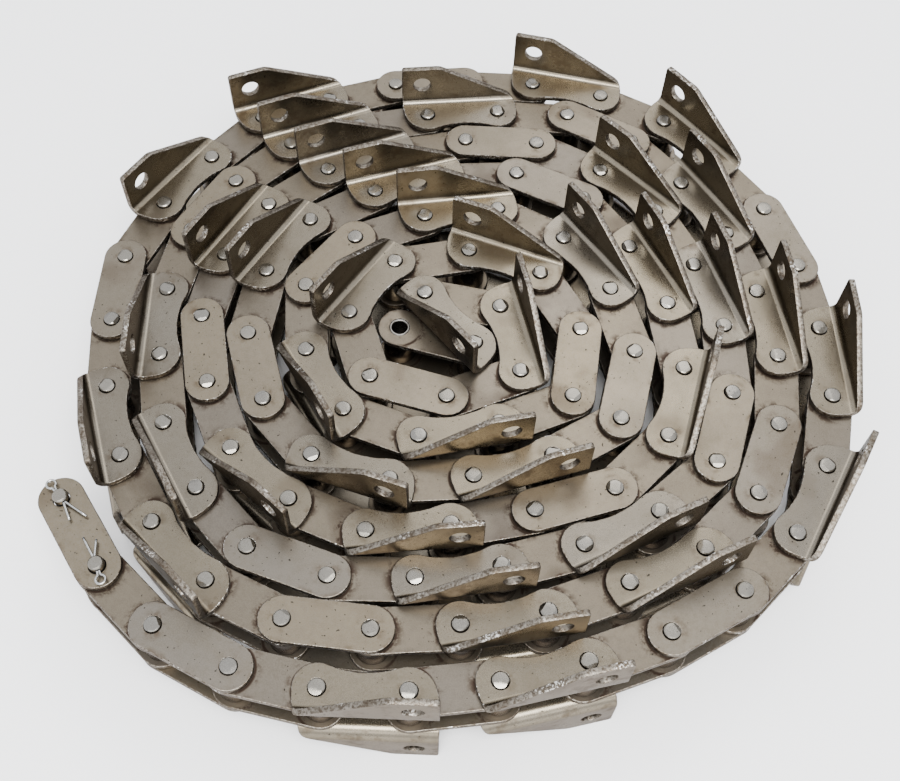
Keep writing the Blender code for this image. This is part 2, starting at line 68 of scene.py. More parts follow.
# ---- chain sizes in millimetres, the same as the CAD's ------------------------------------------
PITCH = 41.4
OUTER_LINKS = 61
PLATE_RADIUS = 11.45
PLATE_THICKNESS = 3.1
INNER_PLATE_LOW = 10.1
INNER_PLATE_HIGH = INNER_PLATE_LOW + PLATE_THICKNESS
OUTER_PLATE_LOW = INNER_PLATE_HIGH + 0.3
OUTER_PLATE_HIGH = OUTER_PLATE_LOW + PLATE_THICKNESS
PIN_RADIUS = 4.0
PIN_PROUD = 1.6
PIN_HALF = OUTER_PLATE_HIGH + PIN_PROUD
BUSH_RADIUS = 5.3
BUSH_BORE = 4.2
ROLLER_RADIUS = 8.89
FOLD_OUT = 13.8
TALL_OVERHANG = 14.3
LOW_OVERHANG = 8.8
WAIST = 7.4
WAIST_RISE = 3.9
LUG_HEIGHT = 25.5
LUG_FLAT_END = 8.0
LUG_HOLE_RADIUS = 5.0
LUG_HOLE_AT = (-2.6, 13.7)
MID_PLANE = OUTER_PLATE_HIGH + LUG_HEIGHT
COTTER_LIFT = 2.2
CONNECTING_PIN_PROUD = 4.2
COTTER_ANGLES = (math.radians(-173), math.radians(-10))

# ---- coil, the same as the CAD's ----------------------------------------------------------------
COIL_CENTRE = (-0.15, 13.58)
COIL_START = math.radians(-151.1)
COIL_RADIUS = 202.3
COIL_SHRINK = 3.877
COIL_TIGHTENING = 0.0057
COIL_WAVES = ((-3.5, -6.2), (5.3, 1.5), (0.2, -2.8), (-3.2, -3.1))
WAVE_FADE = 0.00525
END_LIFT = 7.7
END_LIFT_TURN = 2.0
STEP_TRIES = 40
TURN_GAP = 0.7
PRESS_SWEEPS = 320
PRESS_SHARE = 0.35
PRESS_SPEED = 1.6
PRESS_REACH = 4.0
LINKS_APART = 3  # a plate is pressed only off plates at least this many links away
PINS_APART = 4
LINK_BESIDE_TAIL = 6  # pins back from the end of the coil
PITCH_PASSES = 3
NO_LIMIT = -99.0
TAIL_ROOM = 0.6
TAIL_FOLD = math.radians(142)
TAIL_LEAN = math.radians(-4)

# ---- links of the CAD's bodies and nodes ---------------------------------------------------------
SEPARATE_LINKS = 4
LOOSE_OUTER_LINKS = 7
OUTER_TURN_LINKS = 18
RUN_PAIRS = (8, 8, 8, 8, 8, 7, 7)

# ---- finish of the plates, in millimetres and degrees --------------------------------------------
EDGE_ROUND = 0.45
HOLE_ROUND = 0.3
ATTACHMENT_HOLE_ROUND = 0.35
EDGE_RING_ANGLES = (0, 35, 90)
SHARPEST_MITRE = 0.6
PIN_HOLE_ROOM = 0.2
BUSH_HOLE_ROOM = 0.1
HOLE_SIDES = 32
LUG_HOLE_SIDES = 36
PLATE_END_STEPS = 22
BEND_RADIUS = 3.4
BEND_CUTS = 11
SHARP_ANGLE = 28
PIN_SHARP_ANGLE = 22

# ---- outline of the attachment plate, in millimetres ---------------------------------------------
WAISTED_SIDE = (
    (-14.2, 5.4), (-13.3, 0.6), (-11.4, -4.3), (-8.9, -7.3), (-5.6, -9.5), (-2.4, -10.7),
    (1.2, -11.0), (5.5, -10.1), (10.5, -8.6), (20.7, -WAIST), (30.5, -8.5), (35.5, -10.0),
)
WAISTED_STEPS = 3
LOW_END_ARC = (-105, 0, 15)  # start and stop in degrees, steps
LOW_END_EDGE = ((0.1, 0.45), (0.45, 0.95))  # back from the round end, share of the way to the bend
LUG_LOW_POINT = (9.7, 1.3)
LOW_CORNER = (3.2, 5)  # how far from the corner its curve starts, steps
PEAK_CORNER = (2.0, 3)
TALL_CORNER = (1.9, 5)

# ---- turned pieces and cotters, in millimetres ---------------------------------------------------
PIN_SIDES = 40
SHANK_BACK = 0.15
HEAD_FOOT = 0.6
HEAD_SWELL = 0.02
HEAD_LIFT = 0.05
HEAD_ROUND = ((0.0, 0.62), (0.12, 0.36), (0.62, 0.04), (0.95, 0.0))  # back from side, from end
HEAD_DOME = ((1.6, 0.02), (0, 0.03))  # radius, rise
CHAMFER = ((0.2, 0.85), (0.35, 0.6), (0.9, 0.08), (1.05, 0.0))
CHAMFER_DOME = 0.02
STAKED_FLATS = (  # per pin: direction in radians, distance from the middle, steepness of each flat
    ((0.4, 2.3, 1.7),),
    ((2.0, 2.6, 1.3), (5.1, 2.2, 1.9)),
    ((3.5, 1.9, 2.4),),
    ((4.6, 2.5, 1.4), (1.4, 2.7, 1.5)),
    ((0.9, 1.5, 3.4),),
)
DRILL_RADIUS = 1.25
DRILL_REACH = 9
DRILL_SIDES = 16
WIRE_RADIUS = 0.62
WIRE_SIDES = 3
COTTER_EYE = (-8.4, 0, 2.3, 20, 340, 18)  # centre, radius, start and stop in degrees, steps
COTTER_SHANK = ((4.4, 0.5), (2.0, 0.46), (-2.0, 0.46), (-4.6, 0.5))
COTTER_LEGS = (((13.2, 0.30), (9.6, -0.26)), ((11.2, 0.16), (8.2, -0.34)))  # length, turn
LEG_SHARES = (0.25, 0.5, 0.75, 1)
LEG_DROOP = 0.02
BUSH_SIDES = 32
BUSH_EASE = 0.3
ROLLER_SIDES = 40
ROLLER_END_GAP = 0.35
ROLLER_BORE_ROOM = 0.12
ROLLER_BORE_EASE = 0.5
ROLLER_RIM = (0.7, 0.2)
ROLLER_WAIST = 0.05
NO_RADIUS = 1e-6
WELD_METRES = 1e-6

shade = random.Random(7)


# ==== the coil ===================================================================================
def is_attachment(link):
    """The second outer link is plain, then two attachment links and one plain link repeat."""
    return link != 1 and link % 3 != 2


def spiral_point(turned):
    """Point of the free spiral after turning through an angle from the outer end."""
    angle = COIL_START + turned
    wave = 0.0
    for order, (cosine, sine) in enumerate(COIL_WAVES, start=1):
        wave += cosine * math.cos(order * angle) + sine * math.sin(order * angle)
    radius = COIL_RADIUS - COIL_SHRINK * turned - COIL_TIGHTENING * turned**2
    radius += wave * (1 - WAVE_FADE * turned)
    radius += END_LIFT * math.exp(-((turned / END_LIFT_TURN) ** 2))
    return np.array([radius * math.cos(angle), radius * math.sin(angle)])


def spiral_pins(count):
    """Pins a pitch apart along the free spiral."""
    turned = 0.0
    pins = [spiral_point(turned)]
    while len(pins) < count:
        radius = np.linalg.norm(pins[-1])
        step = PITCH / radius
        for _ in range(STEP_TRIES):
            miss = np.linalg.norm(spiral_point(turned + step) - pins[-1]) - PITCH
            step -= miss / radius
        turned += step
        pins.append(spiral_point(turned))
    return np.array(pins)


def turned_by(vector, angle):
    """A plan vector turned counter-clockwise."""
    cosine, sine = math.cos(angle), math.sin(angle)
    return np.array([cosine * vector[0] - sine * vector[1], sine * vector[0] + cosine * vector[1]])


def with_tail(pins):
    """Adds the last outer link, folded back, and the last inner link beside the one before it."""
    along = pins[-1] - pins[-2]
    fold = pins[-1] + turned_by(along, TAIL_FOLD)
    return np.vstack([pins, fold, fold + turned_by(along, TAIL_LEAN)])


def press(pins, shift, points, owners, tails, limit, side, allowed):
    """Pushes points and links apart where a point is nearer a link's centre line than limit(x).

    Link j runs from pin tails[j] to the next pin.  A point moves with its owner pin, or holds still
    if that is None.  Side is 1 for points outside the link and -1 for points inside it.
    """
    move, count = shift
    last = len(move) - 1
    along = (pins[tails + 1] - pins[tails]) / PITCH
    outward = np.stack([along[:, 1], -along[:, 0]], 1)
    offset = points[None] - ((pins[tails + 1] + pins[tails]) / 2)[:, None]
    x = np.einsum("jik,jk->ji", offset, along)
    y = side * np.einsum("jik,jk->ji", offset, outward)
    depth = limit(x) - y
    for j, i in zip(*np.nonzero(allowed & (depth > 0) & (y > PRESS_REACH))):
        push = side * outward[j] * depth[j, i] * PRESS_SHARE
        share = min(max(x[j, i] / PITCH + 0.5, 0), 1)
        for pin, part in ((owners[i], 1.0), (tails[j], share - 1), (tails[j] + 1, -share)):
            if pin is not None:
                pin = min(pin, last)
                move[pin] += push * part
                count[pin] += abs(part)


def pull_to_pitch(pins):
    """Brings neighbouring pins towards one pitch apart."""
    for k in range(len(pins) - 1):
        gap = pins[k + 1] - pins[k]
        length = math.hypot(gap[0], gap[1])
        fix = gap * (0.5 * (length - PITCH) / length)
        pins[k] += fix
        pins[k + 1] -= fix


def settle(pins):
    """Presses the turns apart until each plate clears the plates of the next turn."""
    total = len(pins)
    links = total // 2
    outer_tails = np.arange(0, 2 * links, 2)
    inner_tails = np.arange(1, total - 1, 2)
    ends = np.arange(2 * links)
    bent = np.array([is_attachment(k + 1) for k in range(links)])
    fold_out = np.where(bent, FOLD_OUT, 0.0)[:, None]
    edge_radius = np.where(bent, 0.0, PLATE_RADIUS)[:, None] + PLATE_RADIUS + TURN_GAP
    reach_back = np.where(bent, PITCH / 2 + LOW_OVERHANG, PITCH / 2)[:, None]
    reach_on = np.where(bent, PITCH / 2 + TALL_OVERHANG, PITCH / 2)[:, None]
    outer_turn = ends[None] // 2 <= np.arange(links)[:, None] - LINKS_APART
    inner_turn = np.arange(links)[:, None] <= ends[None] // 2 - LINKS_APART
    apart = np.abs(np.arange(total)[None] - inner_tails[:, None] - 0.5) > PINS_APART
    corner_radius = np.where(bent[ends // 2], 0.0, PLATE_RADIUS)[None]

    def outer_edge(x):
        beyond = np.maximum(np.maximum(-reach_back - x, x - reach_on), 0)
        left = edge_radius**2 - beyond**2
        return np.where(left > 0, fold_out + np.sqrt(np.maximum(left, 0)), NO_LIMIT)

    def inner_edge(x):
        waist = np.minimum(WAIST + WAIST_RISE * (2 * x / PITCH) ** 2, PLATE_RADIUS)
        depth = np.where(bent[:, None], waist, PLATE_RADIUS) + TURN_GAP + corner_radius
        return np.where(np.abs(x) < PITCH / 2, depth, NO_LIMIT)

    def inner_link_edge(x):
        return np.where(np.abs(x) < PITCH / 2, 2 * PLATE_RADIUS + TURN_GAP, NO_LIMIT)

    def tail_edge(x):
        return np.where(np.abs(x) < PITCH, 2 * PLATE_RADIUS + TURN_GAP + TAIL_ROOM, NO_LIMIT)

    for _ in range(PRESS_SWEEPS):
        shift = (np.zeros_like(pins), np.zeros(total))
        whole = with_tail(pins)
        along = (pins[outer_tails + 1] - pins[outer_tails]) / PITCH
        outward = fold_out * np.stack([along[:, 1], -along[:, 0]], 1)
        corners = np.empty((2 * links, 2))
        corners[0::2] = pins[outer_tails] + outward
        corners[0::2] -= np.where(bent, LOW_OVERHANG, 0)[:, None] * along
        corners[1::2] = pins[outer_tails + 1] + outward
        corners[1::2] += np.where(bent, TALL_OVERHANG, 0)[:, None] * along
        press(pins, shift, pins[ends], ends, outer_tails, outer_edge, 1, outer_turn)
        press(pins, shift, corners, ends, outer_tails, inner_edge, -1, inner_turn)
        beside = np.array([total - LINK_BESIDE_TAIL])
        press(pins, shift, whole[-1:], [None], beside, tail_edge, -1, True)
        for side in (1, -1):
            press(pins, shift, pins, np.arange(total), inner_tails, inner_link_edge, side, apart)
        move, count = shift
        pins = pins + PRESS_SPEED * move / np.maximum(count, 1)[:, None]
        for _ in range(PITCH_PASSES):
            pull_to_pitch(pins)
    exact = [pins[0]]
    for gap in np.diff(pins, axis=0):
        exact.append(exact[-1] + gap * PITCH / np.linalg.norm(gap))
    return np.array(exact)


def coil_pins():
    """Plan position of every pin, outer end first; the last one is the open bush."""
    return with_tail(settle(spiral_pins(2 * OUTER_LINKS - 1))) + np.array(COIL_CENTRE)


# ==== mesh tools =================================================================================
def circle(x, y, radius, sides):
    """Closed loop of points round a circle, counter-clockwise."""
    steps = (2 * math.pi * k / sides for k in range(sides))
    return [(x + radius * math.cos(a), y + radius * math.sin(a)) for a in steps]


def arc(x, y, radius, start, stop, steps):
    """Points along an arc, angles in degrees."""
    angles = (math.radians(start + (stop - start) * k / steps) for k in range(steps + 1))
    return [(x + radius * math.cos(a), y + radius * math.sin(a)) for a in angles]


def smooth_through(points, steps):
    """Catmull-Rom curve through points, both ends included."""
    padded = [points[0], *points, points[-1]]
    out = []
    for k in range(len(points) - 1):
        p0, p1, p2, p3 = (np.array(p, float) for p in padded[k : k + 4])
        for s in range(steps):
            t = s / steps
            out.append(
                tuple(
                    0.5 * (2 * p1 + (p2 - p0) * t + (2 * p0 - 5 * p1 + 4 * p2 - p3) * t**2
                           + (3 * p1 - p0 - 3 * p2 + p3) * t**3)
                )
            )
    return out + [points[-1]]


def eased(before, corner, after, cut, steps):
    """Rounds a corner: points of a curve that starts and ends a distance from it."""
    points = [np.array(p, float) for p in (before, corner, after)]
    ends = []
    for side in (points[0], points[2]):
        along = side - points[1]
        ends.append(points[1] + along * (cut / np.linalg.norm(along)))
    fractions = [k / steps for k in range(steps + 1)]
    return [tuple((1 - t) ** 2 * ends[0] + 2 * t * (1 - t) * points[1] + t**2 * ends[1])
            for t in fractions]


def inset(loop, distance):
    """A counter-clockwise loop moved inwards by a distance (outwards if negative)."""
    points = np.array(loop)
    before, after = np.roll(points, 1, axis=0), np.roll(points, -1, axis=0)
    e1, e2 = points - before, after - points
    e1 /= np.linalg.norm(e1, axis=1)[:, None]
    e2 /= np.linalg.norm(e2, axis=1)[:, None]
    n1 = np.stack([-e1[:, 1], e1[:, 0]], 1)
    n2 = np.stack([-e2[:, 1], e2[:, 0]], 1)
    middle = n1 + n2
    middle /= np.maximum((middle * n1).sum(axis=1), SHARPEST_MITRE)[:, None]
    return [tuple(p) for p in points + middle * distance]


def edge_profile(half, rounding):
    """(inset, height) of the rings of a rounded plate edge, bottom to top."""
    steps = [(rounding * (1 - math.sin(a)), rounding * (1 - math.cos(a)))
             for a in (math.radians(d) for d in EDGE_RING_ANGLES)]
    low = [(back, -half + up) for back, up in steps]
    high = [(back, half - up) for back, up in reversed(steps)]
    return low + high


def sheet_solid(outline, holes, half, rounding, hole_rounding):
    """Flat plate with rounded edges and round holes as a bmesh; edge faces get material slot 1."""
    shape = bmesh.new()
    cap_loops = {0: [], 1: []}
    for loop, turn, ease in [(outline, 1, rounding)] + [(h, -1, hole_rounding) for h in holes]:
        rings = []
        for back, height in edge_profile(half, ease):
            points = inset(loop, back * turn)
            rings.append([shape.verts.new((x, y, height)) for x, y in points])
        for lower, upper in zip(rings, rings[1:]):
            count = len(lower)
            for k in range(count):
                n = (k + 1) % count
                corners = (lower[k], lower[n], upper[n], upper[k])
                face = shape.faces.new(corners if turn > 0 else corners[::-1])
                face.material_index = 1
        cap_loops[0].append(rings[0])
        cap_loops[1].append(rings[-1])
    for side, up in ((0, -1), (1, 1)):
        edges = []
        for ring in cap_loops[side]:
            for k, vert in enumerate(ring):
                edges.append(shape.edges.get((vert, ring[(k + 1) % len(ring)])))
        made = bmesh.ops.triangle_fill(shape, edges=edges, use_beauty=True, normal=(0, 0, up))
        for face in made["geom"]:
            if isinstance(face, bmesh.types.BMFace):
                face.material_index = 0
                face.normal_update()
                if face.normal.z * up < 0:
                    face.normal_flip()
    return shape


def finished(shape, name, sharp=SHARP_ANGLE):
    """Turns a bmesh in millimetres into a shaded mesh in metres."""
    mesh = bpy.data.meshes.new(name)
    bmesh.ops.scale(shape, vec=(MM, MM, MM), verts=shape.verts)
    bmesh.ops.recalc_face_normals(shape, faces=shape.faces)
    shape.to_mesh(mesh)
    shape.free()
    mesh.shade_smooth()
    mesh.set_sharp_from_angle(angle=math.radians(sharp))
    part_rims_from_faces(mesh)
    return mesh


def part_rims_from_faces(mesh):
    """Keeps the shading of flat faces apart from that of the rounded rims beside them."""
    sides = {}
    for face in mesh.polygons:
        for key in face.edge_keys:
            sides.setdefault(key, set()).add(face.material_index)
    sharp = mesh.attributes["sharp_edge"] if "sharp_edge" in mesh.attributes else None
    if sharp is None:
        sharp = mesh.attributes.new("sharp_edge", "BOOLEAN", "EDGE")
    for k, edge in enumerate(mesh.edges):
        if len(sides[edge.key]) > 1:
            sharp.data[k].value = True


def turned_over(mesh, name):
    """The same shape upside down."""
    copy = mesh.copy()
    copy.name = name
    copy.transform(Matrix.Diagonal((1, 1, -1, 1)))
    copy.flip_normals()
    return copy


def lathe(profile, sides, name, sharp=SHARP_ANGLE):
    """Closed turned shape from (radius, height) points, up the outside and down the inside.

    It is a finished mesh, or the bare bmesh if the name is None.
    """
    shape = bmesh.new()
    rings = []
    for radius, height in profile:
        if radius < NO_RADIUS:
            rings.append([shape.verts.new((0, 0, height))])
        else:
            rings.append([shape.verts.new((x, y, height)) for x, y in circle(0, 0, radius, sides)])
    pairs = list(zip(rings, rings[1:]))
    if len(rings[0]) > 1:
        pairs.append((rings[-1], rings[0]))
    for lower, upper in pairs:
        for k in range(sides):
            n = (k + 1) % sides
            if len(lower) == 1:
                shape.faces.new((lower[0], upper[n], upper[k]))
            elif len(upper) == 1:
                shape.faces.new((lower[k], lower[n], upper[0]))
            else:
                shape.faces.new((lower[k], lower[n], upper[n], upper[k]))
    return shape if name is None else finished(shape, name, sharp)


def evaluated_mesh(obj):
    """Mesh of an object with its modifiers or curve settings applied; the object is removed."""
    bpy.context.view_layer.update()
    graph = bpy.context.evaluated_depsgraph_get()
    mesh = bpy.data.meshes.new_from_object(obj.evaluated_get(graph))
    bpy.data.objects.remove(obj)
    return mesh


# ==== shapes of the pieces =======================================================================
def plain_outline():
    """Straight-sided plate with two round ends."""
    left = arc(0, 0, PLATE_RADIUS, 90, 270, PLATE_END_STEPS)
    return left + arc(PITCH, 0, PLATE_RADIUS, -90, 90, PLATE_END_STEPS)


def plain_plate(name, low, hole_radius):
    """Flat link plate with its two holes."""
    holes = [circle(x, 0, hole_radius, HOLE_SIDES) for x in (0, PITCH)]
    shape = sheet_solid(plain_outline(), holes, PLATE_THICKNESS / 2, EDGE_ROUND, HOLE_ROUND)
    bmesh.ops.translate(shape, verts=shape.verts, vec=(0, 0, low + PLATE_THICKNESS / 2))
    return finished(shape, name)


MIDDLE_BEND = BEND_RADIUS + PLATE_THICKNESS / 2
BEND_START = FOLD_OUT - PLATE_THICKNESS / 2 - MIDDLE_BEND
BEND_LENGTH = MIDDLE_BEND * math.pi / 2
LUG_BASE = BEND_START + BEND_LENGTH - MIDDLE_BEND + PLATE_THICKNESS / 2


def attachment_pattern():
    """Flat outline of the attachment plate before bending: plate below the bend, lug beyond it."""
    start = (-TALL_OVERHANG, BEND_START)
    edge = smooth_through([start, *WAISTED_SIDE], WAISTED_STEPS)
    edge += arc(PITCH, 0, PLATE_RADIUS, *LOW_END_ARC)
    edge += [(PITCH + PLATE_RADIUS - back, BEND_START * share) for back, share in LOW_END_EDGE]
    low = (PITCH + LUG_LOW_POINT[0], LUG_BASE + LUG_LOW_POINT[1])
    top = LUG_BASE + LUG_HEIGHT
    peak = (LUG_FLAT_END, top)
    tall = (-TALL_OVERHANG, top)
    edge += eased(edge[-1], low, peak, *LOW_CORNER)
    edge += eased(low, peak, tall, *PEAK_CORNER)
    edge += eased(peak, tall, start, *TALL_CORNER)
    return edge


def bend(shape):
    """Cuts the flat pattern across its bend and rolls the lug up to a right angle."""
    for k in range(BEND_CUTS + 1):
        at = BEND_START + BEND_LENGTH * k / BEND_CUTS
        everything = shape.verts[:] + shape.edges[:] + shape.faces[:]
        bmesh.ops.bisect_plane(shape, geom=everything, plane_co=(0, at, 0), plane_no=(0, 1, 0))
    for vert in shape.verts:
        x, v, w = vert.co
        if v > BEND_START:
            along = min(v - BEND_START, BEND_LENGTH)
            angle = along / MIDDLE_BEND
            reach = MIDDLE_BEND - w
            n = BEND_START + reach * math.sin(angle)
            height = MIDDLE_BEND - reach * math.cos(angle) + max(v - BEND_START - BEND_LENGTH, 0)
            vert.co = (x, n, height)


def attachment_plate(name):
    """Upper attachment plate with its bent, drilled lug."""
    holes = [circle(x, 0, PIN_RADIUS + PIN_HOLE_ROOM, HOLE_SIDES) for x in (0, PITCH)]
    hole_x, hole_height = LUG_HOLE_AT
    holes.append(circle(hole_x, LUG_BASE + hole_height, LUG_HOLE_RADIUS, LUG_HOLE_SIDES))
    half = PLATE_THICKNESS / 2
    shape = sheet_solid(attachment_pattern(), holes, half, EDGE_ROUND, ATTACHMENT_HOLE_ROUND)
    bend(shape)
    bmesh.ops.translate(shape, verts=shape.verts, vec=(0, 0, OUTER_PLATE_LOW + half))
    return finished(shape, name)


def head_profile(top):
    """Head half of a riveted pin, from the shank up to the middle of its end."""
    plate = OUTER_PLATE_HIGH + HEAD_LIFT
    foot = [(PIN_RADIUS - SHANK_BACK, plate - HEAD_FOOT), (PIN_RADIUS + HEAD_SWELL, plate)]
    side = [(PIN_RADIUS - back, top - down) for back, down in HEAD_ROUND]
    return foot + side + [(radius, top + rise) for radius, rise in HEAD_DOME]


def staked_pin(name, flats):
    """Pin whose heads carry the slanted flats that the staking tool leaves."""
    head = head_profile(PIN_HALF)
    mirrored = [(radius, -height) for radius, height in reversed(head)]
    shape = lathe(mirrored + head, PIN_SIDES, None)
    for angle, start, steep in flats:
        direction = Vector((math.cos(angle), math.sin(angle), 0))
        for up in (1, -1):
            point = direction * start + Vector((0, 0, up * PIN_HALF))
            normal = (direction + Vector((0, 0, up * steep))).normalized()
            everything = shape.verts[:] + shape.edges[:] + shape.faces[:]
            cut = bmesh.ops.bisect_plane(
                shape, geom=everything, plane_co=point, plane_no=normal, clear_outer=True
            )
            rim = [e for e in cut["geom_cut"] if isinstance(e, bmesh.types.BMEdge)]
            bmesh.ops.holes_fill(shape, edges=rim)
    return finished(shape, name, PIN_SHARP_ANGLE)


def connecting_pin(name, angle):
    """Long pin of the connecting link, chamfered at its end and cross-drilled for its cotter."""
    top = OUTER_PLATE_HIGH + CONNECTING_PIN_PROUD
    lower = [(radius, -height) for radius, height in reversed(head_profile(PIN_HALF))]
    upper = [(PIN_RADIUS - SHANK_BACK, OUTER_PLATE_HIGH)]
    upper += [(PIN_RADIUS - back, top - down) for back, down in CHAMFER]
    upper.append((0, top + CHAMFER_DOME))
    body = bpy.data.objects.new(name, lathe(lower + upper, PIN_SIDES, name, PIN_SHARP_ANGLE))
    rod = [(0, -DRILL_REACH), (DRILL_RADIUS, -DRILL_REACH), (DRILL_RADIUS, DRILL_REACH),
           (0, DRILL_REACH)]
    drill = lathe(rod, DRILL_SIDES, name + "_drill")
    across = Matrix.Rotation(angle, 4, "Z") @ Matrix.Rotation(math.pi / 2, 4, "Y")
    drill.transform(Matrix.Translation((0, 0, (OUTER_PLATE_HIGH + COTTER_LIFT) * MM)) @ across)
    cutter = bpy.data.objects.new(name + "_drill", drill)
    for obj in (body, cutter):
        bpy.context.scene.collection.objects.link(obj)
    cut = body.modifiers.new("cross_drill", "BOOLEAN")
    cut.operation = "DIFFERENCE"
    cut.solver = "EXACT"
    cut.object = cutter
    mesh = evaluated_mesh(body)
    bpy.data.objects.remove(cutter)
    mesh.shade_smooth()
    mesh.set_sharp_from_angle(angle=math.radians(PIN_SHARP_ANGLE))
    return mesh


def cotter_mesh(name, angle, legs):
    """Split pin of round wire: a round eye, a shank through the pin and two spread legs."""
    height = OUTER_PLATE_HIGH + COTTER_LIFT
    shank_end, shank_side = COTTER_SHANK[0]

    def leg(length, turn, side):
        steps = [length * t for t in LEG_SHARES]
        return [(shank_end + step * math.cos(turn), side * shank_side + step * math.sin(turn))
                for step in steps]

    far_side = [(x, -y) for x, y in reversed(COTTER_SHANK)]
    route = [*reversed(leg(*legs[0], 1)), *COTTER_SHANK, *arc(*COTTER_EYE), *far_side,
             *leg(*legs[1], -1)]
    curve = bpy.data.curves.new(name, "CURVE")
    curve.dimensions = "3D"
    curve.bevel_depth = WIRE_RADIUS * MM
    curve.bevel_resolution = WIRE_SIDES
    curve.use_fill_caps = True
    spline = curve.splines.new("POLY")
    spline.points.add(len(route) - 1)
    for k, (x, y) in enumerate(route):
        spread = max(math.hypot(x, y) - shank_end, 0) if x > 0 else 0
        spline.points[k].co = (x * MM, y * MM, (height - LEG_DROOP * spread) * MM, 1)
    obj = bpy.data.objects.new(name, curve)
    bpy.context.scene.collection.objects.link(obj)
    mesh = evaluated_mesh(obj)
    welded = bmesh.new()
    welded.from_mesh(mesh)
    bmesh.ops.remove_doubles(welded, verts=welded.verts, dist=WELD_METRES)
    bmesh.ops.recalc_face_normals(welded, faces=welded.faces)
    welded.to_mesh(mesh)
    welded.free()
    mesh.transform(Matrix.Rotation(angle, 4, "Z"))
    mesh.shade_smooth()
    return mesh


def bush_mesh():
    """Bush with eased bores."""
    half = INNER_PLATE_HIGH
    low, high = -half + BUSH_EASE, half - BUSH_EASE
    profile = [(BUSH_RADIUS - BUSH_EASE, -half), (BUSH_RADIUS, low), (BUSH_RADIUS, high),
               (BUSH_RADIUS - BUSH_EASE, half), (BUSH_BORE + BUSH_EASE, half), (BUSH_BORE, high),
               (BUSH_BORE, low), (BUSH_BORE + BUSH_EASE, -half)]
    return lathe(profile, BUSH_SIDES, "bush")


def roller_mesh():
    """Roller with rounded rims, a faint rolled waist and a clear bore."""
    half = INNER_PLATE_LOW - ROLLER_END_GAP
    bore = BUSH_RADIUS + ROLLER_BORE_ROOM
    eased_bore = bore + ROLLER_BORE_EASE
    wide, narrow = ROLLER_RIM
    profile = [(ROLLER_RADIUS - wide, -half), (ROLLER_RADIUS - narrow, -half + narrow),
               (ROLLER_RADIUS, -half + wide), (ROLLER_RADIUS - ROLLER_WAIST, 0),
               (ROLLER_RADIUS, half - wide), (ROLLER_RADIUS - narrow, half - narrow),
               (ROLLER_RADIUS - wide, half), (eased_bore, half), (bore, half - ROLLER_BORE_EASE),
               (bore, -half + ROLLER_BORE_EASE), (eased_bore, -half)]
    return lathe(profile, ROLLER_SIDES, "roller")


# ==== materials ==================================================================================
EDGE_TINT = (0.50, 0.49, 0.50, 1)  # darkens the grazing reflection of the steel

# noise patterns: scale per metre, detail, roughness
CLOUD = (34, 3.0, 0.55)
MOTTLE = (300, 3.0, 0.6)
FINE = (1700, 2.0, 0.6)
DRAWN = (110, 2.0, 0.5)
BLOT = (105, 4.0, 0.7)
OIL_PATCH = (30, 2.0, 0.5)
CRUST = (130, 4.0, 0.75)
PITS = (640, 1.0, 0.4)
SHEARED = (760, 3.0, 0.75)
RUST_PATCH = (85, 3.0, 0.65)
WORN_PATCH = (60, 2.0, 0.5)

PATTERN_SHIFT = (9.1, 5.3, 7.7)  # metres, for a piece with random number 1
DRAWN_STRETCH = (1.0, 12.0, 12.0)

# tones of the steel: value of the pattern where a tone starts, where it is full, how strong it is
CHANCE_BAND = (0.3, 1.0)
DARKER = 0.62
LIGHTER = 1.35
CLOUD_SHADE = (0.34, 0.70, 0.40)
MOTTLE_SHADE = (0.40, 0.68, 0.26)
FINE_SHEEN = (0.34, 0.66, 0.36)
DRAWN_SHEEN = (0.50, 0.8, 0.12)
RUST_SHADE = (0.48, 0.64, 0.55)

# oily stains on the plates, and on inner plates a thin dark line just outside the outer plates,
# partly oily dirt and partly painted contact shadow: band in metres and band of the pattern,
# where it starts and where it is full
RIM_BAND, RIM_BLOTS, RIM_AMOUNT = (0.0082, 0.0116), (0.50, 0.68), 0.8
RING_BAND, RING_BLOTS, RING_AMOUNT = (0.0092, 0.0046), (0.49, 0.66), 0.7
CRUST_BAND, CRUST_GRAINS = (0.0168, 0.0118), (0.46, 0.60)
# thin dark line on an inner plate just outside an outer plate: painted contact shadow of the outer
# plate, mixed with oily dirt
SHADOW_AND_OIL_LINE_BAND, SHADOW_AND_OIL_LINE_BLOTS = (0.0131, 0.0121), (0.36, 0.52)
UNCOVERED_BAND = (0.0106, 0.0117)
OIL_PATCHES, PATCH_AMOUNT = (0.58, 0.72), 0.40

PIT_BAND, PIT_SHIFT = (0.765, 0.79), 0.03  # the shift is for a speckle of 1
PIT_COLOUR, PIT_AMOUNT, PIT_DEPTH = (0.012, 0.010, 0.008, 1), 0.85, 1.2
MIDDLE = 0.5  # mean of a noise pattern
CLOUD_ROUGH, FINE_ROUGH, OIL_ROUGH = 0.18, 0.12, 0.15
FINE_RELIEF, MOTTLE_RELIEF = 0.5, 0.5
STEEL_BUMP, STEEL_BUMP_METRES = 0.10, 0.0003

RUBBED_BAND, RUBBED_GRAINS = (0.57, 0.66), (0.53, 0.62)
SHEARED_TONES = (0.38, 0.62)
RUST_COLOUR = (0.055, 0.040, 0.026, 1)
WORN_COLOUR = (0.66, 0.64, 0.60, 1)
SHEARED_ROUGH, SHEARED_LEAST_ROUGH = 0.3, 0.26
SHEARED_BUMP, SHEARED_BUMP_METRES = 0.5, 0.0005


